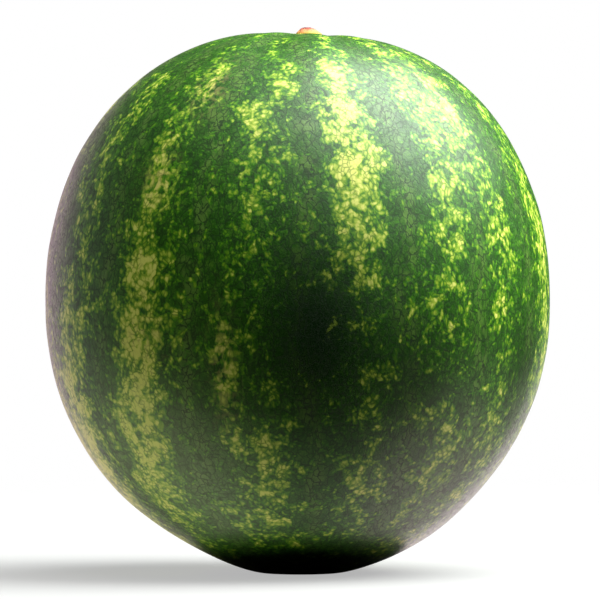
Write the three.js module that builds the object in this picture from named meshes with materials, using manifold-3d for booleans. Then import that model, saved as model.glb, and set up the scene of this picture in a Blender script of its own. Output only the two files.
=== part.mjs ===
// A whole, round, striped watermelon with the short remains of its stem.
// Millimetres, +Z up along the fruit, the front towards -Y.
// The origin lies in the plane of the small flat spot that the fruit rests on.

import * as THREE from 'three';
import { mergeVertices } from 'three/addons/utils/BufferGeometryUtils.js';
import Module from 'manifold-3d';

const wasm = await Module();
wasm.setup();

// The fruit's outline, from the resting spot up to the crown
const EQUATOR_RADIUS = 125;
const EQUATOR_HEIGHT = 135;
const CROWN_HEIGHT = 265.8;
const CROWN_FLAT_RADIUS = 12;
const FOOT_RADIUS = 18;

// How far the outline's two arcs reach before they turn, as Bezier handles
const BELLY_HANDLE = 104;
const FOOT_HANDLE = 14;
const SHOULDER_HANDLE = 75;
const CROWN_HANDLE = 67;

// The fruit isn't quite round: its longest width points a little to one side
const OVALITY = 0.008;
const OVAL_DIRECTION = THREE.MathUtils.degToRad(55);

// The side of the fruit that swells out just above the resting spot
const HEEL_SHIFT = 2.5;
const HEEL_HEIGHT = 13;
const HEEL_SPAN = 16;

// Shallow lobes, unequally wide, that run out from the stem and fade away over the shoulders
const LOBE_COUNT = 9;
const LOBE_DEPTH = 0.6;
const LOBE_PEAK_ANGLE = 0.4;
const LOBE_START = 0.4;
const LOBE_UNEVENNESS = 0.7;

// The crown leans, with a shallow hollow and a raised collar round the stem
const STEM_X = 5.5;
const CROWN_LEAN = 0.055;
const CROWN_LEAN_SPAN = 40;
const HOLLOW_DEPTH = 1.4;
const HOLLOW_RADIUS = 19;
const COLLAR_RISE = 2.6;
const COLLAR_RADIUS = 8;

// The stem's short stub, in its seat in the collar
const SEAT_RADIUS = 7;
const SEAT_HEIGHT = 264.3;
const STUB_GAP = 0.3;
const STUB_TOP = 269.4;
const STUB_TIP_RADIUS = 1.8;
const STUB_TIP_SHIFT = -0.8;

// The blossom scar, a shallow round dimple beside the middle of the resting spot
const SCAR_X = -4;
const SCAR_Y = 8.5;
const SCAR_DEPTH = 1.2;
const SCAR_CURVE_RADIUS = 14;

// Facets
const TURN_STEPS = 84;
const ARC_STEPS = 18;
const CROWN_STEPS = 4;
const STUB_TURN_STEPS = 32;

/** A closed geometry that keeps only its positions, with its shared corners merged. */
function weld(geometry) {
  const bare = geometry.index ? geometry.toNonIndexed() : geometry.clone();
  bare.deleteAttribute('normal');
  bare.deleteAttribute('uv');
  const merged = mergeVertices(bare, 1e-4);
  const corners = merged.index.array;
  const kept = [];
  for (let i = 0; i < corners.length; i += 3) {
    const [a, b, c] = [corners[i], corners[i + 1], corners[i + 2]];
    if (a !== b && b !== c && c !== a) kept.push(a, b, c);
  }
  merged.setIndex(kept);
  return merged;
}

/** A solid of revolution about Z, from [radius, height] pairs that start and end on the axis. */
function turned(outline, steps) {
  const points = outline.map(([radius, height]) => new THREE.Vector2(radius, height));
  const geometry = new THREE.LatheGeometry(points, steps);
  geometry.rotateX(Math.PI / 2);
  return weld(geometry);
}

/** Moves every corner of a geometry by a function that changes a vector in place. */
function reshape(geometry, move) {
  const positions = geometry.getAttribute('position');
  const corner = new THREE.Vector3();
  for (let i = 0; i < positions.count; i += 1) {
    corner.fromBufferAttribute(positions, i);
    move(corner);
    positions.setXYZ(i, corner.x, corner.y, corner.z);
  }
  return geometry;
}

/** The solid that a closed geometry encloses. */
function solidOf(geometry) {
  const vertProperties = new Float32Array(geometry.getAttribute('position').array);
  const triVerts = new Uint32Array(geometry.index.array);
  return new wasm.Manifold(new wasm.Mesh({ numProp: 3, vertProperties, triVerts }));
}

/** The surface of a solid, as a geometry with normals. */
function geometryOf(solid) {
  const mesh = solid.getMesh();
  const geometry = new THREE.BufferGeometry();
  geometry.setAttribute('position', new THREE.BufferAttribute(mesh.vertProperties, 3));
  geometry.setIndex(new THREE.BufferAttribute(mesh.triVerts, 1));
  geometry.computeVertexNormals();
  return geometry;
}

/** A bell curve: 1 in the middle and close to 0 past one and a half spans. */
function bell(distance, span) {
  return Math.exp(-((distance / span) ** 2));
}

/** The fruit's outline: the flat foot, the belly, the shoulder and the flat crown. */
function fruitOutline() {
  const belly = new THREE.CubicBezierCurve(
    new THREE.Vector2(FOOT_RADIUS, 0),
    new THREE.Vector2(FOOT_RADIUS + FOOT_HANDLE, 0),
    new THREE.Vector2(EQUATOR_RADIUS, EQUATOR_HEIGHT - BELLY_HANDLE),
    new THREE.Vector2(EQUATOR_RADIUS, EQUATOR_HEIGHT),
  );
  const shoulder = new THREE.CubicBezierCurve(
    new THREE.Vector2(EQUATOR_RADIUS, EQUATOR_HEIGHT),
    new THREE.Vector2(EQUATOR_RADIUS, EQUATOR_HEIGHT + SHOULDER_HANDLE),
    new THREE.Vector2(CROWN_FLAT_RADIUS + CROWN_HANDLE, CROWN_HEIGHT),
    new THREE.Vector2(CROWN_FLAT_RADIUS, CROWN_HEIGHT),
  );
  const arcs = [...belly.getSpacedPoints(ARC_STEPS), ...shoulder.getSpacedPoints(ARC_STEPS).slice(1)];
  const outline = [[0, 0], ...arcs.map((point) => [point.x, point.y])];
  for (let step = CROWN_STEPS - 1; step >= 0; step -= 1) {
    outline.push([CROWN_FLAT_RADIUS * step / CROWN_STEPS, CROWN_HEIGHT]);
  }
  return outline;
}

/** Turns the round body into the grown one: oval, lobed, and leaning towards its stem. */
function grow(point) {
  const { x, y, z } = point;
  const azimuth = Math.atan2(y, x);
  const outwards = new THREE.Vector3(x, y, z - EQUATOR_HEIGHT).normalize();

  const oval = 1 + OVALITY * Math.cos(2 * (azimuth - OVAL_DIRECTION));
  point.x *= oval;
  point.y *= oval;
  point.x += HEEL_SHIFT * bell(z - HEEL_HEIGHT, HEEL_SPAN);
  if (z < EQUATOR_HEIGHT) return;

  const wave = Math.cos(LOBE_COUNT * azimuth + LOBE_START + LOBE_UNEVENNESS * Math.sin(2 * azimuth));
  const down = Math.acos(THREE.MathUtils.clamp(outwards.z, -1, 1)) / LOBE_PEAK_ANGLE;
  const fade = down * Math.exp(1 - down) * THREE.MathUtils.smoothstep(z, EQUATOR_HEIGHT, CROWN_HEIGHT);
  point.addScaledVector(outwards, LOBE_DEPTH * wave * fade);

  const fromAxis = Math.hypot(x, y);
  point.x += STEM_X * bell(fromAxis, CROWN_LEAN_SPAN);
  point.z -= CROWN_LEAN * x * bell(fromAxis, CROWN_LEAN_SPAN);
  point.z -= HOLLOW_DEPTH * bell(fromAxis, HOLLOW_RADIUS);
  point.z += COLLAR_RISE * bell(fromAxis, COLLAR_RADIUS);
}

/** The whole fruit, with the seat of the stem and the blossom scar cut into it. */
function fruitGeometry() {
  const body = reshape(turned(fruitOutline(), TURN_STEPS), grow);

  const seatTop = CROWN_HEIGHT + COLLAR_RISE;
  const seat = turned([[0, SEAT_HEIGHT], [SEAT_RADIUS, SEAT_HEIGHT], [SEAT_RADIUS, seatTop], [0, seatTop]],
    STUB_TURN_STEPS);
  seat.translate(STEM_X, 0, 0);

  const scar = weld(new THREE.SphereGeometry(SCAR_CURVE_RADIUS, 48, 32));
  scar.rotateX(Math.PI / 2);
  scar.translate(SCAR_X, SCAR_Y, SCAR_DEPTH - SCAR_CURVE_RADIUS);

  return geometryOf(solidOf(body).subtract(solidOf(seat)).subtract(solidOf(scar)));
}

/** The stem's stub: a low cone with a blunt tip that leans a little to one side. */
function stubGeometry() {
  const base = SEAT_HEIGHT + STUB_GAP;
  const radius = SEAT_RADIUS - STUB_GAP;
  const rise = STUB_TOP - base;
  const outline = [
    [0, base],
    [radius, base],
    [radius, base + 0.25 * rise],
    [0.92 * radius, base + 0.4 * rise],
    [0.68 * radius, base + 0.66 * rise],
    [0.45 * radius, base + 0.88 * rise],
    [STUB_TIP_RADIUS, base + 0.98 * rise],
    [0, STUB_TOP],
  ];
  const stub = reshape(turned(outline, STUB_TURN_STEPS), (point) => {
    point.x += STEM_X + STUB_TIP_SHIFT * THREE.MathUtils.smoothstep(point.z, base + 0.25 * rise, STUB_TOP);
  });
  stub.computeVertexNormals();
  return stub;
}

const rind = new THREE.MeshStandardMaterial({ color: 0x2c5a1c, roughness: 0.42, metalness: 0 });
const cork = new THREE.MeshStandardMaterial({ color: 0xb98a5c, roughness: 0.8, metalness: 0 });

const fruit = new THREE.Mesh(fruitGeometry(), rind);
fruit.name = 'fruit';

const stemStub = new THREE.Mesh(stubGeometry(), cork);
stemStub.name = 'stem_stub';

const watermelon = new THREE.Group();
watermelon.add(fruit, stemStub);

export default watermelon;
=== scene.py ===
"""A whole, round, striped watermelon with the stub of its stem, standing on its small flat spot."""

import math
import random

import bmesh
import bpy
from bpy.props import FloatProperty, FloatVectorProperty, IntProperty, PointerProperty
from mathutils import Matrix, Vector, geometry, noise


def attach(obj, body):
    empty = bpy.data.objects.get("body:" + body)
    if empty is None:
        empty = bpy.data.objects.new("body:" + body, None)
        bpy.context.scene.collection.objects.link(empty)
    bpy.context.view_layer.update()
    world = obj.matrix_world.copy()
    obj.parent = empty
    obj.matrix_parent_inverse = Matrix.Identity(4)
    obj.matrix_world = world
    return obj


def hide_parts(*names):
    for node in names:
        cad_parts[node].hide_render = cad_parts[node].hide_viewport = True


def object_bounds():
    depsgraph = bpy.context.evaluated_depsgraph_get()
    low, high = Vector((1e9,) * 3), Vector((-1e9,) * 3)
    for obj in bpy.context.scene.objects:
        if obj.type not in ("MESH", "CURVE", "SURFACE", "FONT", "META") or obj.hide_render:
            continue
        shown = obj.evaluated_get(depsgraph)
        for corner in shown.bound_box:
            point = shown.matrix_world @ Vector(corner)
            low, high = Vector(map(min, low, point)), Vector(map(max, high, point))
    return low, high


bl_info = {
    "name": "Watermelon",
    "version": (1, 0, 0),
    "blender": (4, 5, 0),
    "location": "View3D > Sidebar > Watermelon",
    "description": "Makes a whole round watermelon, its stem stub and a plain studio stage",
    "category": "Add Mesh",
}

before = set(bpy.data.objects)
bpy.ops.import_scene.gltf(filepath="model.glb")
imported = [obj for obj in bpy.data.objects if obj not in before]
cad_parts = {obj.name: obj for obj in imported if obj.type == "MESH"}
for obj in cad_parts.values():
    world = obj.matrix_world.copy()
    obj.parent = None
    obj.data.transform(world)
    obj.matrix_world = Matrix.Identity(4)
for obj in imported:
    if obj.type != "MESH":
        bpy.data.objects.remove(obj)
CAD_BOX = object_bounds()

MM = 0.001
BODY = "root"

# The fruit's outline, in millimetres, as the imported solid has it
EQUATOR_RADIUS = 125
EQUATOR_HEIGHT = 135
CROWN_HEIGHT = 265.8
CROWN_FLAT_RADIUS = 12
FOOT_RADIUS = 18
BELLY_HANDLE = 104
FOOT_HANDLE = 14
SHOULDER_HANDLE = 75
CROWN_HANDLE = 67

# How the round body grew: oval, swollen to one side at the heel, lobed, and leaning to its stem
OVALITY = 0.008
OVAL_DIRECTION = math.radians(55)
HEEL_SHIFT = 2.5
HEEL_HEIGHT = 13
HEEL_SPAN = 16
LOBE_COUNT = 9
LOBE_DEPTH = 0.6
LOBE_PEAK_ANGLE = 0.4
LOBE_START = 0.4
LOBE_UNEVENNESS = 0.7
STEM_X = 5.5
CROWN_LEAN = 0.055
CROWN_LEAN_SPAN = 40
HOLLOW_DEPTH = 1.4
HOLLOW_RADIUS = 19
COLLAR_RISE = 2.6
COLLAR_RADIUS = 8

# The seat of the stem, and the blossom scar beside the middle of the resting spot
SEAT_RADIUS = 7
SEAT_HEIGHT = 264.3
SEAT_TOLERANCE = 0.05
STUB_GAP = 0.3
STUB_TOP = 269.4
STUB_TIP_SHIFT = -0.8
SCAR_X = -4
SCAR_Y = 8.5
SCAR_DEPTH = 1.2
SCAR_CURVE_RADIUS = 14

# The rind's gentle swells: how far across they and the smaller ones on them are, in millimetres
SWELL_SIZE = 38
SMALL_SWELL_SIZE = 15
SMALL_SWELL_SHARE = 0.45

# The heights between which the swells set in above the foot, and die away below the crown
SWELLS_BEGIN = (2, 30)
SWELLS_END = (255, 262)

# The stub's worn tip: the size of its lumps and of the smaller ones on them, and how far they
# stand out sideways and upwards, in millimetres
LUMP_SIZE = 2.2
SMALL_LUMP_SIZE = 0.9
LUMP_SIDEWAYS = 0.22
LUMP_UPWARDS = 0.25

# The rind's marks, in millimetres across
CLUSTER_SIZE = 9
CURL_SIZE = 3.2
CRUMB_SIZE = 2.2
LONG_CELL_SIZE = 2.8

# How far the strip down a dark band's middle sways each way, and half its width, in millimetres
FIBRE_SWAY = 7
FIBRE_STRIP_HALF_WIDTH = 7

# Real wax bloom is finer than this, but at less it wouldn't show
WAX_GRAIN_SIZE = 0.9

# The light stripes that the front shows, left to right. Each is followed from the crown down to the
# blossom end by (height in mm, longitude in degrees from the front, how strong the stripe is there).
FRONT_STRIPES = (
    ((262, -58, .3), (240, -57, .6), (200, -57, .6), (160, -56, .5), (130, -60, .65), (100, -63, .6),
     (50, -70, .6), (20, -74, .5)),
    ((262, -32, .6), (245, -32, .55), (215, -35, .4), (190, -34, .6), (140, -36, .8), (100, -38, 1.0),
     (65, -42, .75), (40, -46, .7), (15, -50, .4)),
    ((262, -13, .5), (245, -6, .65), (215, -10, .6), (185, -9, .55), (150, -12, .35), (120, -13, .4),
     (90, -14, .35), (60, -8, .65), (25, -13, .65), (10, -8, .3)),
    ((262, 12, .5), (240, 13, .9), (200, 14, 1.0), (175, 13, .85), (145, 13, .5), (110, 15, .3),
     (70, 18, .4), (40, 20, .55), (15, 20, .3)),
    ((262, 44, .4), (240, 37, .62), (200, 38, .58), (165, 38, .6), (135, 33, .55), (95, 37, .4),
     (60, 41, .65), (30, 38, .4)),
    ((262, 56, .4), (235, 51, .66), (200, 51, .6), (165, 53, .6), (120, 53, .55), (85, 55, .45),
     (55, 62, .6), (25, 56, .5)),
    ((255, 74, .35), (220, 75, .5), (160, 77, .8), (120, 78, .7), (60, 82, .55), (20, 84, .5)),
)

# The stripes round the back go on at about the same distance apart
BACK_STRIPE_COUNT = 9
BACK_STRIPE_FIRST = 101
BACK_STRIPE_STEP = 22.3
BACK_STRIPE_HEIGHTS = (262, 235, 205, 170, 135, 100, 65, 35, 12)

# A stripe's half width in degrees. Below the equator a stripe keeps its width on the skin, so it
# spans more degrees as the girth shrinks, down to this share of the girth.
STRIPE_HALF_WIDTH = 7.5
LEAST_GIRTH_SHARE = 0.5

# Soft patches: (longitude, height in mm, half width in degrees, half height in mm, strength).
# Masses are where light flecks crowd beside a stripe, or are missing from it. Painted shade darkens the
# green low on the front, along the bottom and on both flanks. Scuffs are where the fruit rubbed as it
# grew.
MASSES = ((45, 232, 6, 22, 0.25), (-8, 60, 10, 20, 0.1), (-17, 92, 3, 24, 0.25), (-3, 84, 3, 14, 0.25),
          (-66, 80, 10, 45, 0.45), (-80, 55, 12, 40, 0.45), (-42, 62, 8, 32, 0.35),
          (-38, 135, 5, 50, 0.1), (53, 112, 7, 25, -0.25), (38, 105, 6, 20, -0.1),
          (-35, 256, 35, 11, -0.25), (14, 150, 5, 20, 0.15), (73, 175, 9, 55, 0.1),
          (-11, 150, 5, 25, -0.05))
# Painted shade: these patches darken the green low on the front, along the bottom and on both flanks
PAINTED_SHADE_PATCHES = ((4, 120, 15, 52, 1.0), (28, 100, 13, 40, 0.6), (0, 3, 70, 10, 0.9),
                (-82, 165, 12, 60, 0.6), (65, 105, 10, 35, 0.5))
SCUFFS = ((-29, 236, 5, 12, 1.0), (-35, 192, 4, 12, 1.0), (-35, 117, 6, 9, 0.7),
          (-17, 100, 2.5, 26, 0.9), (118, 150, 6, 14, 0.8), (-150, 90, 8, 10, 0.8))

# How far from a band's middle line the skin still knows its distance to it, in millimetres
FIBRE_REACH = 12

# What each corner of the skin keeps for the rind, as attributes
GROWTH = ("stripe", "from_fibre", "painted_shade", "scuff", "collar")


def linear(hex_colour):
    """An sRGB colour such as "#2c5a1c" as linear red, green, blue and alpha."""
    parts = [int(hex_colour[i:i + 2], 16) / 255 for i in (1, 3, 5)]
    return [*(p / 12.92 if p <= 0.04045 else ((p + 0.055) / 1.055) ** 2.4 for p in parts), 1.0]


def bell(distance, span):
    """A bell curve: 1 in the middle and close to 0 past one and a half spans."""
    return math.exp(-((distance / span) ** 2))


def smoothstep(value, low, high):
    """0 below low, 1 above high, and a smooth rise between them."""
    t = min(max((value - low) / (high - low), 0.0), 1.0)
    return t * t * (3 - 2 * t)


# --- Settings ---------------------------------------------------------------------------------


class FruitSettings(bpy.types.PropertyGroup):
    """Sizes of the fruit's fine mesh and the look of its rind."""

    turn_steps: IntProperty(name="Turn steps", description="Faces round the fruit", default=360, min=48)
    arc_steps: IntProperty(name="Arc steps", description="Faces up each arc of the outline", default=90,
                           min=12)
    unevenness: FloatProperty(name="Unevenness", description="Height of the rind's gentle swells",
                              default=0.35 * MM, min=0, unit="LENGTH")
    dark_green: FloatVectorProperty(name="Dark green", description="The dark bands", subtype="COLOR",
                                    size=4, default=linear("#24520c"), min=0, max=1)
    light_green: FloatVectorProperty(name="Light green", description="The flecks of the light stripes",
                                     subtype="COLOR", size=4, default=linear("#7f9c28"), min=0, max=1)


class StemSettings(bpy.types.PropertyGroup):
    """Sizes and colours of the stem's stub."""

    turn_steps: IntProperty(name="Turn steps", description="Faces round the stub", default=96, min=24)
    cork: FloatVectorProperty(name="Cork", description="The dry broken end", subtype="COLOR", size=4,
                              default=linear("#c98a5c"), min=0, max=1)


class StageSettings(bpy.types.PropertyGroup):
    """The studio that the fruit stands in."""

    camera_distance: FloatProperty(name="Camera distance", description="From the fruit's middle",
                                   default=2.4, min=0.4, unit="LENGTH")
    view_height: FloatProperty(name="View height", description="Height of the picture at the fruit",
                               default=0.2965, min=0.1, unit="LENGTH")


# --- The fruit ----------------------------------------------------------------------------------


def arc(start, start_handle, end_handle, end, steps):
    """Points along a Bezier arc of (radius, height) pairs, without its first point."""
    points = geometry.interpolate_bezier(start, start_handle, end_handle, end, steps + 1)
    return [(p[0], p[1]) for p in points[1:]]


def fruit_outline(arc_steps):
    """(radius, height) from the middle of the resting spot up to the middle of the stem's seat."""
    foot_steps = 12
    outline = [(FOOT_RADIUS * i / foot_steps, 0.0) for i in range(foot_steps + 1)]
    outline += arc((FOOT_RADIUS, 0), (FOOT_RADIUS + FOOT_HANDLE, 0),
                   (EQUATOR_RADIUS, EQUATOR_HEIGHT - BELLY_HANDLE), (EQUATOR_RADIUS, EQUATOR_HEIGHT),
                   arc_steps)
    outline += arc((EQUATOR_RADIUS, EQUATOR_HEIGHT), (EQUATOR_RADIUS, EQUATOR_HEIGHT + SHOULDER_HANDLE),
                   (CROWN_FLAT_RADIUS + CROWN_HANDLE, CROWN_HEIGHT), (CROWN_FLAT_RADIUS, CROWN_HEIGHT),
                   arc_steps)
    crown_radii = (11, 10, 9.2, 8.5, 7.9, 7.5, 7.2)
    outline += [(radius, CROWN_HEIGHT) for radius in crown_radii]
    return outline


def seat_outline():
    """The wall and floor of the stem's seat, below the crown's rim."""
    wall = [(SEAT_RADIUS, SEAT_HEIGHT + 1.4), (SEAT_RADIUS - 0.1, SEAT_HEIGHT + 0.5)]
    return wall + [(radius, SEAT_HEIGHT) for radius in (SEAT_RADIUS - 0.5, 4, 2, 0)]


def spin_outline(mesh, outline, steps):
    """Turns an outline of (radius, height) pairs, in millimetres, round the Z axis into a closed skin."""
    verts = [mesh.verts.new((radius * MM, 0, height * MM)) for radius, height in outline]
    edges = [mesh.edges.new(pair) for pair in zip(verts, verts[1:])]
    bmesh.ops.spin(mesh, geom=verts + edges, cent=(0, 0, 0), axis=(0, 0, 1), angle=math.tau,
                   steps=steps, use_merge=True)
    bmesh.ops.remove_doubles(mesh, verts=mesh.verts, dist=0.01 * MM)
    bmesh.ops.recalc_face_normals(mesh, faces=mesh.faces)


def finish_mesh(mesh, name):
    """Turns a bmesh into smooth-shaded mesh data and frees it."""
    data = bpy.data.meshes.new(name)
    mesh.to_mesh(data)
    mesh.free()
    data.shade_smooth()
    return data


def place_piece(context, data, node):
    """Puts a piece in the scene in place of a CAD node, riding on the fruit's one body."""
    piece = bpy.data.objects.new(data.name, data)
    context.scene.collection.objects.link(piece)
    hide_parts(node)
    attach(piece, BODY)


def grown(x, y, z):
    """Where a point of the round body, in millimetres, has grown to."""
    azimuth = math.atan2(y, x)
    oval = 1 + OVALITY * math.cos(2 * (azimuth - OVAL_DIRECTION))
    point = Vector((x * oval, y * oval, z))
    point.x += HEEL_SHIFT * bell(z - HEEL_HEIGHT, HEEL_SPAN)
    if z < EQUATOR_HEIGHT:
        return point

    outwards = Vector((x, y, z - EQUATOR_HEIGHT)).normalized()
    wave = math.cos(LOBE_COUNT * azimuth + LOBE_START + LOBE_UNEVENNESS * math.sin(2 * azimuth))
    down = math.acos(min(outwards.z, 1.0)) / LOBE_PEAK_ANGLE
    fade = down * math.exp(1 - down) * smoothstep(z, EQUATOR_HEIGHT, CROWN_HEIGHT)
    point += outwards * LOBE_DEPTH * wave * fade

    from_axis = math.hypot(x, y)
    point.x += STEM_X * bell(from_axis, CROWN_LEAN_SPAN)
    point.z -= CROWN_LEAN * x * bell(from_axis, CROWN_LEAN_SPAN)
    point.z -= HOLLOW_DEPTH * bell(from_axis, HOLLOW_RADIUS)
    point.z += COLLAR_RISE * bell(from_axis, COLLAR_RADIUS)
    return point


def swell(point, height):
    """Gentle uneven swells of a grown rind, which fade out at the resting spot and the stem."""
    small = noise.noise(point / SMALL_SWELL_SIZE + Vector((7, 3, 1)))
    low = noise.noise(point / SWELL_SIZE) + SMALL_SWELL_SHARE * small
    ends = smoothstep(point.z, *SWELLS_BEGIN) * (1 - smoothstep(point.z, *SWELLS_END))
    outwards = Vector((point.x, point.y, point.z - EQUATOR_HEIGHT)).normalized()
    return point + outwards * low * height * ends


def blossom_dip(point):
    """How far the blossom scar's dimple has sunk into the resting spot at a point."""
    across = math.hypot(point.x - SCAR_X, point.y - SCAR_Y)
    if point.z > 1 or across >= SCAR_CURVE_RADIUS:
        return 0.0
    ball = math.sqrt(SCAR_CURVE_RADIUS ** 2 - across ** 2)
    return max(0.0, ball - (SCAR_CURVE_RADIUS - SCAR_DEPTH))


def along(knots, height):
    """(longitude, strength) of a stripe at a height, eased between its knots."""
    if height >= knots[0][0]:
        return knots[0][1:]
    for (top, lon_a, strong_a), (bottom, lon_b, strong_b) in zip(knots, knots[1:]):
        if height >= bottom:
            t = smoothstep(height, bottom, top)
            return lon_b + (lon_a - lon_b) * t, strong_b + (strong_a - strong_b) * t
    return knots[-1][1:]


def all_stripes():
    """The stripes of the front, and those of the back at seeded places and strengths."""
    chance = random.Random(11)
    stripes = list(FRONT_STRIPES)
    for i in range(BACK_STRIPE_COUNT):
        middle = BACK_STRIPE_FIRST + i * BACK_STRIPE_STEP + chance.uniform(-3, 3)
        stripes.append(tuple((height, middle + chance.uniform(-2.5, 2.5), chance.uniform(0.45, 0.95))
                             for height in BACK_STRIPE_HEIGHTS))
    return stripes


def turn_between(a, b):
    """The shortest turn from longitude b to longitude a, in degrees."""
    return (a - b + 180) % 360 - 180


def girth_share(height):
    """The fruit's girth at a height, as a share of its girth at the equator."""
    return math.sqrt(max(0.0, 1 - ((height - EQUATOR_HEIGHT) / EQUATOR_HEIGHT) ** 2))


def stripe_strength(longitude, row, half_width):
    """How strong the light stripes are at a place: 1 in the middle of a full one, 0 in a dark band."""
    return max(strength * bell(turn_between(longitude, middle), half_width)
               for middle, strength in row)


def from_band_middle(longitude, row):
    """Degrees from the fibre line that runs down the middle of the nearest dark band."""
    middles = sorted(middle % 360 for middle, _ in row)
    middles.append(middles[0] + 360)
    halves = [(left + right) / 2 for left, right in zip(middles, middles[1:])]
    return min((turn_between(longitude, half) for half in halves), key=abs)


def patch_strength(longitude, height, patches):
    """The sum at a place of soft patches, each (longitude, height, half width, half height, strength)."""
    return sum(strength * bell(turn_between(longitude, middle), wide) * bell(height - level, tall)
               for middle, level, wide, tall, strength in patches)


def paint_growth(data, places):
    """Keeps each corner's stripe, fibre line, painted shade, scuffs and collar as attributes."""
    stripes = all_stripes()
    rows = {}
    for name in GROWTH:
        data.attributes.new(name, "FLOAT", "POINT")
    stripe, from_fibre, painted_shade, scuff, collar = (data.attributes[name].data for name in GROWTH)
    for i, (longitude, height, from_axis) in enumerate(places):
        level = round(height, 1)
        if level not in rows:
            rows[level] = [along(knots, level) for knots in stripes]
        girth = girth_share(level)
        half_width = STRIPE_HALF_WIDTH
        if level < EQUATOR_HEIGHT:
            half_width /= max(girth, LEAST_GIRTH_SHARE)
        stripe[i].value = (stripe_strength(longitude, rows[level], half_width)
                           + patch_strength(longitude, height, MASSES))
        apart = math.radians(from_band_middle(longitude, rows[level])) * EQUATOR_RADIUS * girth
        from_fibre[i].value = max(-FIBRE_REACH, min(FIBRE_REACH, apart))
        # Painted shade: how much the green is darkened here
        painted_shade[i].value = patch_strength(longitude, height, PAINTED_SHADE_PATCHES)
        scuff[i].value = patch_strength(longitude, height, SCUFFS)
        if height > EQUATOR_HEIGHT:
            collar[i].value = 1 - smoothstep(from_axis, COLLAR_RADIUS - 0.5, COLLAR_RADIUS + 3.5)


class MELON_OT_fruit(bpy.types.Operator):
    """Makes the whole fruit: its skin with lobes, hollow, collar, seat and blossom scar, and its rind"""

    bl_idname = "melon.fruit"
    bl_label = "Fruit"

    def execute(self, context):
        settings = context.scene.melon_fruit
        mesh = bmesh.new()
        spin_outline(mesh, fruit_outline(settings.arc_steps) + seat_outline(), settings.turn_steps)

        places = []
        for vert in mesh.verts:
            x, y, z = vert.co / MM
            places.append((math.degrees(math.atan2(x, -y)), z, math.hypot(x, y)))
            # The seat is cut straight down, so it only moves under the stem
            if math.hypot(x, y) < SEAT_RADIUS + SEAT_TOLERANCE and z > EQUATOR_HEIGHT:
                vert.co.x += STEM_X * MM
                continue
            point = swell(grown(x, y, z), settings.unevenness / MM)
            point.z += blossom_dip(point)
            vert.co = point * MM

        data = finish_mesh(mesh, "watermelon_fruit")
        paint_growth(data, places)
        data.materials.append(rind_material(settings))
        place_piece(context, data, "fruit")
        return {"FINISHED"}


# --- The stem's stub ----------------------------------------------------------------------------


class MELON_OT_stem_stub(bpy.types.Operator):
    """Makes the stem's corky stub, with a worn broken tip, in its seat on the crown"""

    bl_idname = "melon.stem_stub"
    bl_label = "Stem stub"

    def execute(self, context):
        settings = context.scene.melon_stem
        base = SEAT_HEIGHT + STUB_GAP
        radius = SEAT_RADIUS - STUB_GAP
        rise = STUB_TOP - base
        outline = [(radius * i / 8, base) for i in range(9)]
        outline += arc((radius, base), (radius, base + 0.2 * rise), (radius, base + 0.25 * rise),
                       (0.94 * radius, base + 0.38 * rise), 8)
        outline += arc((0.94 * radius, base + 0.38 * rise), (0.75 * radius, base + 0.6 * rise),
                       (0.5 * radius, base + 0.97 * rise), (0.2 * radius, base + 0.98 * rise), 20)
        outline += [(0.1 * radius, base + 0.97 * rise), (0, base + 0.97 * rise)]

        mesh = bmesh.new()
        spin_outline(mesh, outline, settings.turn_steps)
        for vert in mesh.verts:
            point = vert.co / MM
            up = smoothstep(point.z, base + 0.3, STUB_TOP)
            rough = noise.noise(point / LUMP_SIZE) + 0.5 * noise.noise(point / SMALL_LUMP_SIZE)
            point += Vector((point.x, point.y, 0)).normalized() * rough * LUMP_SIDEWAYS * up
            point.z += LUMP_UPWARDS * rough * up
            point.x += STEM_X + STUB_TIP_SHIFT * up
            vert.co = point * MM

        data = finish_mesh(mesh, "watermelon_stem_stub")
        data.materials.append(cork_material(settings))
        place_piece(context, data, "stem_stub")
        return {"FINISHED"}


# --- Materials ----------------------------------------------------------------------------------


def add_node(tree, kind, settings=None, inputs=None):
    """Adds a node, sets its properties, and fills or links its inputs; returns the node."""
    node = tree.nodes.new(kind)
    for name, value in (settings or {}).items():
        setattr(node, name, value)
    for name, value in (inputs or {}).items():
        if isinstance(value, bpy.types.NodeSocket):
            tree.links.new(value, node.inputs[name])
        else:
            node.inputs[name].default_value = value
    return node


def new_material(name):
    """An empty node material, its tree, its Principled shader and its coordinates in millimetres."""
    material = bpy.data.materials.new(name)
    material.use_nodes = True
    tree = material.node_tree
    shader = tree.nodes["Principled BSDF"]
    place = add_node(tree, "ShaderNodeTexCoord")
    mm = add_node(tree, "ShaderNodeVectorMath", {"operation": "SCALE"},
                  {0: place.outputs["Object"], "Scale": 1 / MM})
    return material, tree, shader, mm.outputs[0]


def set_ramp(node, stops):
    """Fills a colour ramp from (position, linear colour) pairs."""
    ramp = node.color_ramp
    while len(ramp.elements) > 1:
        ramp.elements.remove(ramp.elements[-1])
    ramp.elements[0].position, ramp.elements[0].color = stops[0]
    for position, colour in stops[1:]:
        ramp.elements.new(position).color = colour


def bent(tree, place, size, reach):
    """Coordinates that waver by a reach over a size, both in millimetres, so that marks look grown."""
    drift = add_node(tree, "ShaderNodeTexNoise", None, {"Vector": place, "Scale": 1 / size, "Detail": 3})
    centred = add_node(tree, "ShaderNodeVectorMath", {"operation": "SUBTRACT"},
                       {0: drift.outputs["Color"], 1: (0.5, 0.5, 0.5)})
    moved = add_node(tree, "ShaderNodeVectorMath", {"operation": "MULTIPLY_ADD"},
                     {0: centred.outputs[0], 1: (reach, reach, reach), 2: place})
    return moved.outputs[0]


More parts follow.
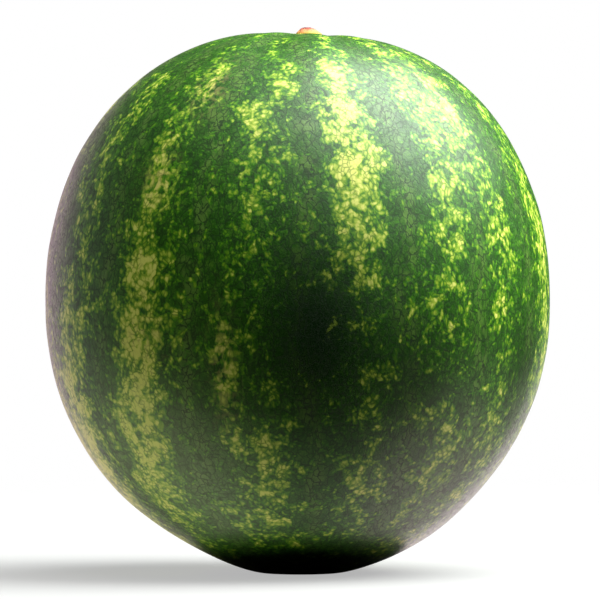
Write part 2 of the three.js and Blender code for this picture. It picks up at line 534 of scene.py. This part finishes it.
def rind_material(settings):
    """Waxy watermelon rind: a smooth grown skin with a matt bloom, so its reflections are soft and
    wide. Under the wax lies a dark green with a fine net, broken by stripes of yellow-green flecks."""
    material, tree, shader, mm = new_material("waxy_watermelon_rind")
    stripe, from_fibre, painted_shade, scuff, collar = (
        add_node(tree, "ShaderNodeAttribute", {"attribute_name": name}).outputs["Fac"]
        for name in GROWTH)

    # The skin stretched a little more in length than in girth, so its marks are drawn out upwards
    long = add_node(tree, "ShaderNodeVectorMath", {"operation": "MULTIPLY"}, {0: mm, 1: (1, 1, 0.85)})
    place = bent(tree, bent(tree, long.outputs[0], 14, 7), 2.5, 1.6)
    tall = add_node(tree, "ShaderNodeVectorMath", {"operation": "MULTIPLY"},
                    {0: bent(tree, place, 4, 3.5), 1: (1, 1, 0.7)}).outputs[0]

    # Flecks: round crumbs with dark gaps between them, joined into curls and clusters, which crowd
    # together where a stripe is strong
    clusters = add_node(tree, "ShaderNodeTexNoise", None,
                        {"Vector": place, "Scale": 1 / CLUSTER_SIZE, "Detail": 2})
    curls = add_node(tree, "ShaderNodeTexNoise", None,
                     {"Vector": place, "Scale": 1 / CURL_SIZE, "Detail": 3, "Distortion": 0.4})
    crumbs = add_node(tree, "ShaderNodeTexVoronoi", {"feature": "F1"},
                      {"Vector": place, "Scale": 1 / CRUMB_SIZE})
    crumb = add_node(tree, "ShaderNodeSeparateColor", None, {0: crumbs.outputs["Color"]})
    crowded = add_node(tree, "ShaderNodeMath", {"operation": "MULTIPLY_ADD"},
                       {0: stripe, 1: 1.0, 2: -1.78})
    clustered = add_node(tree, "ShaderNodeMath", {"operation": "MULTIPLY_ADD"},
                         {0: clusters.outputs["Fac"], 1: 2.0, 2: crowded.outputs[0]})
    curled = add_node(tree, "ShaderNodeMath", {"operation": "MULTIPLY_ADD"},
                      {0: curls.outputs["Fac"], 1: 1.8, 2: clustered.outputs[0]})
    crumbly = add_node(tree, "ShaderNodeMath", {"operation": "MULTIPLY_ADD"},
                       {0: crumb.outputs[0], 1: 0.25, 2: curled.outputs[0]})
    gapped = add_node(tree, "ShaderNodeMath", {"operation": "MULTIPLY_ADD"},
                      {0: crumbs.outputs["Distance"], 1: -0.7, 2: crumbly.outputs[0]})
    fleck = add_node(tree, "ShaderNodeMath", {"operation": "MULTIPLY_ADD"},
                     {0: scuff, 1: 0.25, 2: gapped.outputs[0]}).outputs[0]

    # The net of fine dark lines: round the crumbs in the stripes, in longer cells in the dark bands
    net = add_node(tree, "ShaderNodeTexVoronoi", {"feature": "DISTANCE_TO_EDGE"},
                   {"Vector": place, "Scale": 1 / CRUMB_SIZE})
    line = add_node(tree, "ShaderNodeMapRange", {"interpolation_type": "SMOOTHSTEP"},
                    {"Value": net.outputs["Distance"], "From Max": 0.2, "To Min": 1, "To Max": 0})
    long_net = add_node(tree, "ShaderNodeTexVoronoi", {"feature": "DISTANCE_TO_EDGE"},
                        {"Vector": tall, "Scale": 1 / LONG_CELL_SIZE})
    long_line = add_node(tree, "ShaderNodeMapRange", {"interpolation_type": "SMOOTHSTEP"},
                         {"Value": long_net.outputs["Distance"], "From Max": 0.14, "To Min": 1,
                          "To Max": 0})
    faint = add_node(tree, "ShaderNodeTexNoise", None, {"Vector": tall, "Scale": 1 / 5, "Detail": 3})
    broken = add_node(tree, "ShaderNodeMapRange", {"interpolation_type": "SMOOTHSTEP"},
                      {"Value": faint.outputs["Fac"], "From Min": 0.38, "From Max": 0.62})

    # Dark bands: soft patches with a fine grain
    grain = add_node(tree, "ShaderNodeTexNoise", None,
                     {"Vector": mm, "Scale": 1 / WAX_GRAIN_SIZE, "Detail": 2})
    patches = add_node(tree, "ShaderNodeTexNoise", None,
                       {"Vector": tall, "Scale": 1 / 4, "Detail": 4, "Roughness": 0.65})
    grainy = add_node(tree, "ShaderNodeMix", {"data_type": "FLOAT"},
                      {"Factor": 0.4, "A": patches.outputs["Fac"], "B": grain.outputs["Fac"]})
    dark = add_node(tree, "ShaderNodeValToRGB", None, {0: grainy.outputs["Result"]})
    set_ramp(dark, [(0.32, linear("#193a05")), (0.50, settings.dark_green), (0.70, linear("#4a7420"))])

    # A wavering strip down each band's middle is a little paler between the lines
    sway = add_node(tree, "ShaderNodeTexNoise", None, {"Vector": long.outputs[0], "Scale": 1 / 16})
    swayed = add_node(tree, "ShaderNodeMath", {"operation": "MULTIPLY_ADD"},
                      {0: sway.outputs["Fac"], 1: 2 * FIBRE_SWAY, 2: from_fibre})
    centred = add_node(tree, "ShaderNodeMath", {"operation": "SUBTRACT"},
                       {0: swayed.outputs[0], 1: FIBRE_SWAY})
    aside = add_node(tree, "ShaderNodeMath", {"operation": "ABSOLUTE"}, {0: centred.outputs[0]})
    middle = add_node(tree, "ShaderNodeMapRange", {"interpolation_type": "SMOOTHSTEP"},
                      {"Value": aside.outputs[0], "From Min": 1, "From Max": FIBRE_STRIP_HALF_WIDTH,
                       "To Min": 1, "To Max": 0})
    strip = add_node(tree, "ShaderNodeMath", {"operation": "MULTIPLY"},
                     {0: middle.outputs[0], 1: broken.outputs[0]})
    pale = add_node(tree, "ShaderNodeMath", {"operation": "MULTIPLY"}, {0: strip.outputs[0], 1: 0.35})
    paler = add_node(tree, "ShaderNodeMix", {"data_type": "RGBA"},
                     {"Factor": pale.outputs[0], "A": dark.outputs["Color"], "B": linear("#6d8c40")})
    clear = add_node(tree, "ShaderNodeMath", {"operation": "MULTIPLY_ADD"},
                     {0: strip.outputs[0], 1: 0.3, 2: 0.68})
    drawn = add_node(tree, "ShaderNodeMath", {"operation": "MULTIPLY"},
                     {0: long_line.outputs[0], 1: clear.outputs[0]})
    netted = add_node(tree, "ShaderNodeMix", {"data_type": "RGBA"},
                      {"Factor": drawn.outputs[0], "A": paler.outputs["Result"], "B": linear("#0b2603")})

    # Light stripes: saturated green round the flecks, then olive, yellow-green and palest crumbs
    light = add_node(tree, "ShaderNodeValToRGB", None, {0: fleck})
    set_ramp(light, [(0.14, linear("#21500a")), (0.34, linear("#357209")), (0.52, linear("#598212")),
                     (0.68, settings.light_green), (0.86, linear("#a3b344")),
                     (1.0, linear("#c3c762"))])
    cracks = add_node(tree, "ShaderNodeMath", {"operation": "MULTIPLY"},
                      {0: line.outputs[0], 1: broken.outputs[0]})
    cracks_drawn = add_node(tree, "ShaderNodeMath", {"operation": "MULTIPLY"},
                            {0: cracks.outputs[0], 1: 0.7})
    lined = add_node(tree, "ShaderNodeMix", {"data_type": "RGBA"},
                     {"Factor": cracks_drawn.outputs[0], "A": light.outputs["Color"],
                      "B": linear("#305a08")})
    edge = add_node(tree, "ShaderNodeMapRange", {"interpolation_type": "SMOOTHSTEP"},
                    {"Value": fleck, "From Min": 0.14, "From Max": 0.44})
    striped = add_node(tree, "ShaderNodeMix", {"data_type": "RGBA"},
                       {"Factor": edge.outputs[0], "A": netted.outputs["Result"],
                        "B": lined.outputs["Result"]})

    # Painted shade: where it is strong the green goes near black, hiding the net and dulling what flecks
    # there are
    core = add_node(tree, "ShaderNodeMapRange", {"interpolation_type": "SMOOTHSTEP"},
                    {"Value": fleck, "From Min": 0.5, "From Max": 0.8})
    shaded_green = add_node(tree, "ShaderNodeMix", {"data_type": "RGBA"},
                    {"Factor": core.outputs[0], "A": linear("#031a01"), "B": linear("#41520f")})
    shade_amount = add_node(tree, "ShaderNodeMath", {"operation": "MULTIPLY"}, {0: painted_shade, 1: 0.98})
    shaded_skin = add_node(tree, "ShaderNodeMix", {"data_type": "RGBA"},
                        {"Factor": shade_amount.outputs[0], "A": striped.outputs["Result"],
                         "B": shaded_green.outputs["Result"]})

    # Scuffs: dull beige crumbs where the skin healed
    healed = add_node(tree, "ShaderNodeMapRange", {"interpolation_type": "SMOOTHSTEP"},
                      {"Value": curls.outputs["Fac"], "From Min": 0.42, "From Max": 0.6, "To Max": 0.45})
    scuffed = add_node(tree, "ShaderNodeMath", {"operation": "MULTIPLY"}, {0: healed.outputs[0], 1: scuff})
    skin = add_node(tree, "ShaderNodeMix", {"data_type": "RGBA"},
                    {"Factor": scuffed.outputs[0], "A": shaded_skin.outputs["Result"],
                     "B": linear("#a3905c")})

    # The collar round the stem has no chlorophyll left: olive-yellow with peach blotches
    blotches = add_node(tree, "ShaderNodeValToRGB", None, {0: curls.outputs["Fac"]})
    set_ramp(blotches, [(0.35, linear("#8f8a30")), (0.55, linear("#b39c46")), (0.70, linear("#cf9a62"))])
    faded = add_node(tree, "ShaderNodeMath", {"operation": "MULTIPLY"}, {0: collar, 1: 0.85})
    whole = add_node(tree, "ShaderNodeMix", {"data_type": "RGBA"},
                     {"Factor": faded.outputs[0], "A": skin.outputs["Result"],
                      "B": blotches.outputs["Color"]})
    tree.links.new(whole.outputs["Result"], shader.inputs["Base Color"])

    # The wax: a grain in its gloss and height. The dark bands' net is barely sunk and a little duller
    gloss = add_node(tree, "ShaderNodeMapRange", None,
                     {"Value": grain.outputs["Fac"], "From Min": 0.3, "From Max": 0.7, "To Min": 0.32,
                      "To Max": 0.46})
    duller = add_node(tree, "ShaderNodeMath", {"operation": "MULTIPLY_ADD"},
                      {0: long_line.outputs[0], 1: 0.1, 2: gloss.outputs[0]})
    tree.links.new(duller.outputs[0], shader.inputs["Roughness"])
    sunk_line = add_node(tree, "ShaderNodeMath", {"operation": "MULTIPLY_ADD"},
                         {0: long_line.outputs[0], 1: -0.25, 2: grain.outputs["Fac"]})
    bump = add_node(tree, "ShaderNodeBump", None,
                    {"Strength": 0.6, "Distance": 0.12 * MM, "Height": sunk_line.outputs[0]})
    tree.links.new(bump.outputs[0], shader.inputs["Normal"])
    shader.inputs["IOR"].default_value = 1.45
    shader.inputs["Specular IOR Level"].default_value = 0.45
    return material


def cork_material(settings):
    """Corky stem stub: dry, matt and cracked where the stem broke off, so light dies on it. It is olive
    at its root, then peach, and dark red-brown on its tip."""
    material, tree, shader, mm = new_material("corky_stem_stub")
    fibres = add_node(tree, "ShaderNodeTexNoise", None,
                      {"Vector": mm, "Scale": 1 / 1.6, "Detail": 4, "Roughness": 0.7})
    parts = add_node(tree, "ShaderNodeSeparateXYZ", None, {0: mm})
    climb = add_node(tree, "ShaderNodeMapRange", None,
                     {"Value": parts.outputs["Z"], "From Min": SEAT_HEIGHT + 1.2, "From Max": STUB_TOP})
    mottled = add_node(tree, "ShaderNodeMath", {"operation": "MULTIPLY_ADD"},
                       {0: fibres.outputs["Fac"], 1: 0.9, 2: climb.outputs[0]})
    centred = add_node(tree, "ShaderNodeMath", {"operation": "SUBTRACT"}, {0: mottled.outputs[0], 1: 0.45})
    colour = add_node(tree, "ShaderNodeValToRGB", None, {0: centred.outputs[0]})
    set_ramp(colour, [(0.05, linear("#a89a3c")), (0.30, linear("#c9914e")), (0.55, settings.cork),
                      (0.80, linear("#9c5446")), (0.95, linear("#6b2f30"))])
    specks = add_node(tree, "ShaderNodeTexVoronoi", {"feature": "F1"}, {"Vector": mm, "Scale": 1 / 0.8})
    speck = add_node(tree, "ShaderNodeMapRange", {"interpolation_type": "SMOOTHSTEP"},
                     {"Value": specks.outputs["Distance"], "From Min": 0.1, "From Max": 0.35,
                      "To Min": 0.6, "To Max": 0})
    speckled = add_node(tree, "ShaderNodeMix", {"data_type": "RGBA"},
                        {"Factor": speck.outputs[0], "A": colour.outputs["Color"], "B": linear("#6e3a34")})
    tree.links.new(speckled.outputs["Result"], shader.inputs["Base Color"])
    shader.inputs["Roughness"].default_value = 0.8
    shader.inputs["Specular IOR Level"].default_value = 0.2
    bump = add_node(tree, "ShaderNodeBump", None,
                    {"Strength": 0.8, "Distance": 0.2 * MM, "Height": fibres.outputs["Fac"]})
    tree.links.new(bump.outputs[0], shader.inputs["Normal"])
    return material


def floor_material():
    """Backlit matt white acrylic, as on a product photographer's table: it glows evenly from below, so
    shadows on it are pale, and it fades into the white room."""
    material, tree, shader, mm = new_material("backlit_white_acrylic")
    shader.inputs["Base Color"].default_value = linear("#727271")
    shader.inputs["Roughness"].default_value = 0.9
    shader.inputs["Specular IOR Level"].default_value = 0
    shader.inputs["Emission Color"].default_value = linear("#ffffff")
    shader.inputs["Emission Strength"].default_value = 0.45
    reach = add_node(tree, "ShaderNodeVectorMath", {"operation": "LENGTH"}, {0: mm})
    fade = add_node(tree, "ShaderNodeMapRange", {"interpolation_type": "SMOOTHSTEP"},
                    {"Value": reach.outputs["Value"], "From Min": 250, "From Max": 1300,
                     "To Min": 1, "To Max": 0})
    tree.links.new(fade.outputs[0], shader.inputs["Alpha"])
    return material


def card_material():
    """Black felt on a card: its loose fibres swallow the light under the fruit, so nothing pale is
    thrown back up at it."""
    material, _, shader, _ = new_material("black_felt_card")
    shader.inputs["Base Color"].default_value = linear("#0a0a0a")
    shader.inputs["Roughness"].default_value = 1
    return material


# --- The stage ----------------------------------------------------------------------------------


# The floor, and the black card under it that keeps light off the fruit's underside, in millimetres
FLOOR_RADIUS = 6000
CARD_RADIUS = 62
CARD_DEPTH = 1

# The lamp above and to the right: its place and sides in metres, and its power in watts
KEY_PLACE = (0.73, -0.05, 1.12)
KEY_SIZE = (1.1, 1.15)
KEY_POWER = 26

# How far to the right of the fruit's axis the camera stands, in millimetres
CAMERA_SIDE = 1

# The soft light of the room: (turn from the front, rise, half width, all in degrees; strength; tint).
# The last one makes the highlight on the fruit's shoulder.
ROOM_GLOWS = (
    (-120, 0, 42, 0.5, "#fbf4f8"),
    (-100, -50, 42, 2.3, "#faffd0"),
    (-155, -3, 30, 1.9, "#f7d2e2"),
    (112, -46, 36, 2.6, "#fbe6e6"),
    (163, -20, 22, 3.8, "#efdce2"),
    (0, -90, 48, 0.35, "#ffffff"),
    (0, 90, 60, 0.3, "#ffffff"),
    (30, 76, 28, 5.0, "#ffffff"),
    (38, 38, 32, 1.3, "#ffffff"),
    (106, 55, 38, 14.0, "#f7fbfa"),
)


def direction(turn, rise):
    """The unit vector that points a turn to the right of the front and a rise above the floor."""
    turn, rise = math.radians(turn), math.radians(rise)
    return (math.sin(turn) * math.cos(rise), -math.cos(turn) * math.cos(rise), math.sin(rise))


def stage_disc(name, radius, height, material):
    """A flat round piece of the stage, level with or below the resting plane."""
    mesh = bmesh.new()
    bmesh.ops.create_circle(mesh, cap_ends=True, segments=96, radius=radius,
                            matrix=Matrix.Translation((0, 0, height)))
    data = finish_mesh(mesh, name)
    disc = bpy.data.objects.new(name, data)
    bpy.context.scene.collection.objects.link(disc)
    data.materials.append(material)
    return disc


def softbox(name, place, size, power, tint):
    """A soft rectangular lamp that faces the fruit's middle. Neither the camera nor a reflection shows
    it, because seen along the crown it would burn out."""
    lamp = bpy.data.lights.new(name, "AREA")
    lamp.shape = "RECTANGLE"
    lamp.size, lamp.size_y = size
    lamp.energy = power
    lamp.color = linear(tint)[:3]
    light = bpy.data.objects.new(name, lamp)
    bpy.context.scene.collection.objects.link(light)
    light.location = place
    target = Vector((0, 0, EQUATOR_HEIGHT * MM))
    light.rotation_euler = (target - light.location).to_track_quat("-Z", "Y").to_euler()
    light.visible_camera = False
    light.visible_glossy = False


def light_room():
    """A white room whose walls glow softly where ROOM_GLOWS says, and are dim elsewhere."""
    world = bpy.data.worlds.new("white_room")
    bpy.context.scene.world = world
    world.use_nodes = True
    tree = world.node_tree
    shader = tree.nodes["Background"]
    towards = add_node(tree, "ShaderNodeTexCoord").outputs["Generated"]
    total = None
    for turn, rise, half_width, strength, tint in ROOM_GLOWS:
        facing = add_node(tree, "ShaderNodeVectorMath", {"operation": "DOT_PRODUCT"},
                          {0: towards, 1: direction(turn, rise)})
        glow = add_node(tree, "ShaderNodeMapRange", {"interpolation_type": "SMOOTHSTEP"},
                        {"Value": facing.outputs["Value"], "From Min": math.cos(math.radians(half_width)),
                         "From Max": 1.0, "To Min": 0.0, "To Max": strength})
        tinted = add_node(tree, "ShaderNodeVectorMath", {"operation": "SCALE"},
                          {0: linear(tint)[:3], "Scale": glow.outputs[0]})
        if total is None:
            total = tinted
        else:
            total = add_node(tree, "ShaderNodeVectorMath", {"operation": "ADD"},
                             {0: total.outputs[0], 1: tinted.outputs[0]})
    path = add_node(tree, "ShaderNodeLightPath")
    colour = add_node(tree, "ShaderNodeMix", {"data_type": "RGBA"},
                      {"Factor": path.outputs["Is Camera Ray"], "A": total.outputs[0],
                       "B": linear("#ffffff")})
    tree.links.new(colour.outputs["Result"], shader.inputs["Color"])


class MELON_OT_stage(bpy.types.Operator):
    """Makes the studio: a pale floor, a white room, soft lamps and the camera"""

    bl_idname = "melon.stage"
    bl_label = "Stage"

    def execute(self, context):
        settings = context.scene.melon_stage
        scene = context.scene
        # The floor lights nothing and isn't reflected, so the fruit's underside stays dark
        floor = stage_disc("studio_floor", FLOOR_RADIUS * MM, 0, floor_material())
        floor.visible_diffuse = False
        floor.visible_glossy = False
        floor.visible_shadow = False
        card = stage_disc("black_card", CARD_RADIUS * MM, -CARD_DEPTH * MM, card_material())
        card.visible_camera = False

        light_room()
        softbox("key_overhead_right", KEY_PLACE, KEY_SIZE, KEY_POWER, "#fafdf8")

        camera_data = bpy.data.cameras.new("camera")
        camera = bpy.data.objects.new("camera", camera_data)
        scene.collection.objects.link(camera)
        scene.camera = camera
        low, high = CAD_BOX
        camera.location = (CAMERA_SIDE * MM, -settings.camera_distance, (low[2] + high[2]) / 2)
        camera.rotation_euler = (math.radians(90), 0, 0)
        camera_data.lens = camera_data.sensor_width * settings.camera_distance / settings.view_height
        scene.view_settings.view_transform = "Standard"
        return {"FINISHED"}


# --- Panel and registration ---------------------------------------------------------------------


class MELON_PT_panel(bpy.types.Panel):
    """Lists the makers of the watermelon's pieces and of its stage"""

    bl_idname = "MELON_PT_panel"
    bl_label = "Watermelon"
    bl_space_type = "VIEW_3D"
    bl_region_type = "UI"
    bl_category = "Watermelon"

    def draw(self, context):
        rows = ((context.scene.melon_fruit, MELON_OT_fruit),
                (context.scene.melon_stem, MELON_OT_stem_stub),
                (context.scene.melon_stage, MELON_OT_stage))
        for settings, operator in rows:
            box = self.layout.box()
            for name in settings.bl_rna.properties.keys():
                if name not in ("rna_type", "name"):
                    box.prop(settings, name)
            box.operator(operator.bl_idname)


CLASSES = (FruitSettings, StemSettings, StageSettings, MELON_OT_fruit, MELON_OT_stem_stub,
           MELON_OT_stage, MELON_PT_panel)


def register():
    """Registers the classes and puts their settings on the scene."""
    for cls in CLASSES:
        bpy.utils.register_class(cls)
    bpy.types.Scene.melon_fruit = PointerProperty(type=FruitSettings)
    bpy.types.Scene.melon_stem = PointerProperty(type=StemSettings)
    bpy.types.Scene.melon_stage = PointerProperty(type=StageSettings)


def unregister():
    """Takes the settings and the classes away again."""
    del bpy.types.Scene.melon_stage
    del bpy.types.Scene.melon_stem
    del bpy.types.Scene.melon_fruit
    for cls in reversed(CLASSES):
        bpy.utils.unregister_class(cls)


def main():
    """Makes the stage and the pieces."""
    register()
    bpy.ops.melon.stage()
    bpy.ops.melon.fruit()
    bpy.ops.melon.stem_stub()


if __name__ == "__main__":
    main()
